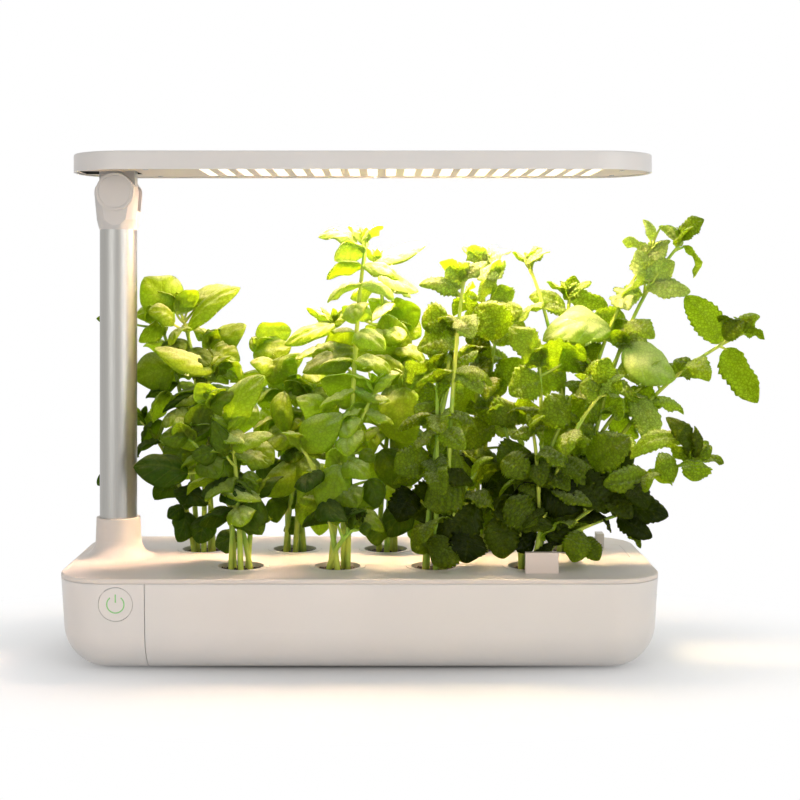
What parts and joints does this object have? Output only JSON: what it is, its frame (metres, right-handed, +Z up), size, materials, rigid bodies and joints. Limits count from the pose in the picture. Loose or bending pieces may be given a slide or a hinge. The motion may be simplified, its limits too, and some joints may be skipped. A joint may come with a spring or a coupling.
{
  "type": "countertop hydroponic garden",
  "caption": "Countertop hydroponic garden: water tank under a deck of planted net pots, with a pole that carries a folding flat LED lamp.",
  "frame": {"origin": "on the table under the middle of the base, at the middle foot of the tank", "axes": "+X along the base away from the lamp's pole, +Y to the back, +Z up"},
  "size_m": [0.5014, 0.169, 0.3554],
  "materials": {
    "white_plastic": "warm white moulded shell, satin",
    "deck_plastic": "warm white top plate, glossy",
    "foot_rubber": "dark rubber pads",
    "screw_steel": "zinc-plated steel",
    "circuit_board": "green board with solder mask",
    "black_plastic": "black moulded plastic",
    "grey_plastic": "grey moulded plastic",
    "pot_plastic": "warm white net pot",
    "symbol_light": "translucent green, lit",
    "growing_sponge": "dark peat sponge",
    "rotor_plastic": "blue rotor",
    "shaft_ceramic": "polished ceramic",
    "lead_rubber": "black sheath",
    "pole_aluminium": "satin anodised tube",
    "board_aluminium": "aluminium-core board",
    "led_light": "lit warm white strip",
    "basil_leaf": "glossy cupped leaves on pale stems",
    "mint_leaf": "toothed, deeply veined leaves on pale stems"
  },
  "bodies": {
    "tank_base": {"tank": "white_plastic", "tank_feet": "foot_rubber"},
    "garden_top": {"control_housing": "white_plastic", "housing_feet": "foot_rubber", "housing_screws": "screw_steel", "control_board": "circuit_board", "button_switch": "black_plastic", "power_inlet": "black_plastic", "board_screws": "screw_steel", "deck": "deck_plastic", "grow_sponges": "growing_sponge", "pump_hanger": "white_plastic", "pump_body": "black_plastic", "pump_cover": "grey_plastic", "rotor_shaft": "shaft_ceramic", "outlet_pipe": "grey_plastic", "pump_screws": "screw_steel", "pump_lead": "lead_rubber", "pole_tube": "pole_aluminium", "pole_foot": "grey_plastic", "pole_foot_screws": "screw_steel", "hinge_head": "white_plastic", "hinge_pin": "screw_steel", "hinge_nut": "screw_steel", "friction_washers": "grey_plastic", "hinge_cap_front": "white_plastic", "hinge_cap_rear": "white_plastic", "lamp_lead": "lead_rubber", "net_pot_1": "pot_plastic", "net_pot_2": "pot_plastic", "net_pot_3": "pot_plastic", "net_pot_4": "pot_plastic", "net_pot_5": "pot_plastic", "net_pot_6": "pot_plastic", "net_pot_7": "pot_plastic", "net_pot_8": "pot_plastic", "net_pot_9": "pot_plastic", "plant_1": "basil_leaf", "plant_2": "basil_leaf", "plant_3": "basil_leaf", "plant_4": "basil_leaf", "plant_5": "basil_leaf", "plant_6": "mint_leaf", "plant_7": "mint_leaf", "plant_8": "mint_leaf", "plant_9": "mint_leaf"},
    "lamp": {"knuckle": "white_plastic", "knuckle_screws": "screw_steel", "lamp_top_cover": "white_plastic", "lamp_bottom_panel": "white_plastic", "led_board": "board_aluminium", "led_light_bars": "led_light", "panel_screws": "screw_steel", "lamp_inner_lead": "lead_rubber"},
    "button": {"power_button": "white_plastic", "power_symbol": "symbol_light"},
    "float": {"level_float": "white_plastic"},
    "filler_cap": {"refill_cap": "deck_plastic"},
    "rotor": {"pump_rotor": "rotor_plastic"}
  },
  "joints": [
    {"name": "deck_lift", "type": "slide", "parent": "tank_base", "child": "garden_top", "axis": [0, 0, 1], "range_m": [0, 0.08]},
    {"name": "lamp_fold", "type": "hinge", "parent": "garden_top", "child": "lamp", "pos_m": [-0.1753, 0, 0.3287], "axis": [0, -1, 0], "range_deg": [0, 90]},
    {"name": "power_button_press", "type": "slide", "parent": "garden_top", "child": "button", "axis": [0, 1, 0], "range_m": [0, 0.0008], "stiffness_N_per_m": 1500, "springref_m": -0.0006},
    {"name": "level_float_rise", "type": "slide", "parent": "garden_top", "child": "float", "axis": [0, 0, 1], "range_m": [-0.012, 0]},
    {"name": "refill_cap_lift", "type": "slide", "parent": "garden_top", "child": "filler_cap", "axis": [0, 0, 1], "range_m": [0, 0.012]},
    {"name": "pump_rotor_spin", "type": "hinge", "parent": "garden_top", "child": "rotor", "pos_m": [-0.12, -0.043, 0.021], "axis": [1, 0, 0], "continuous": true}
  ]
}
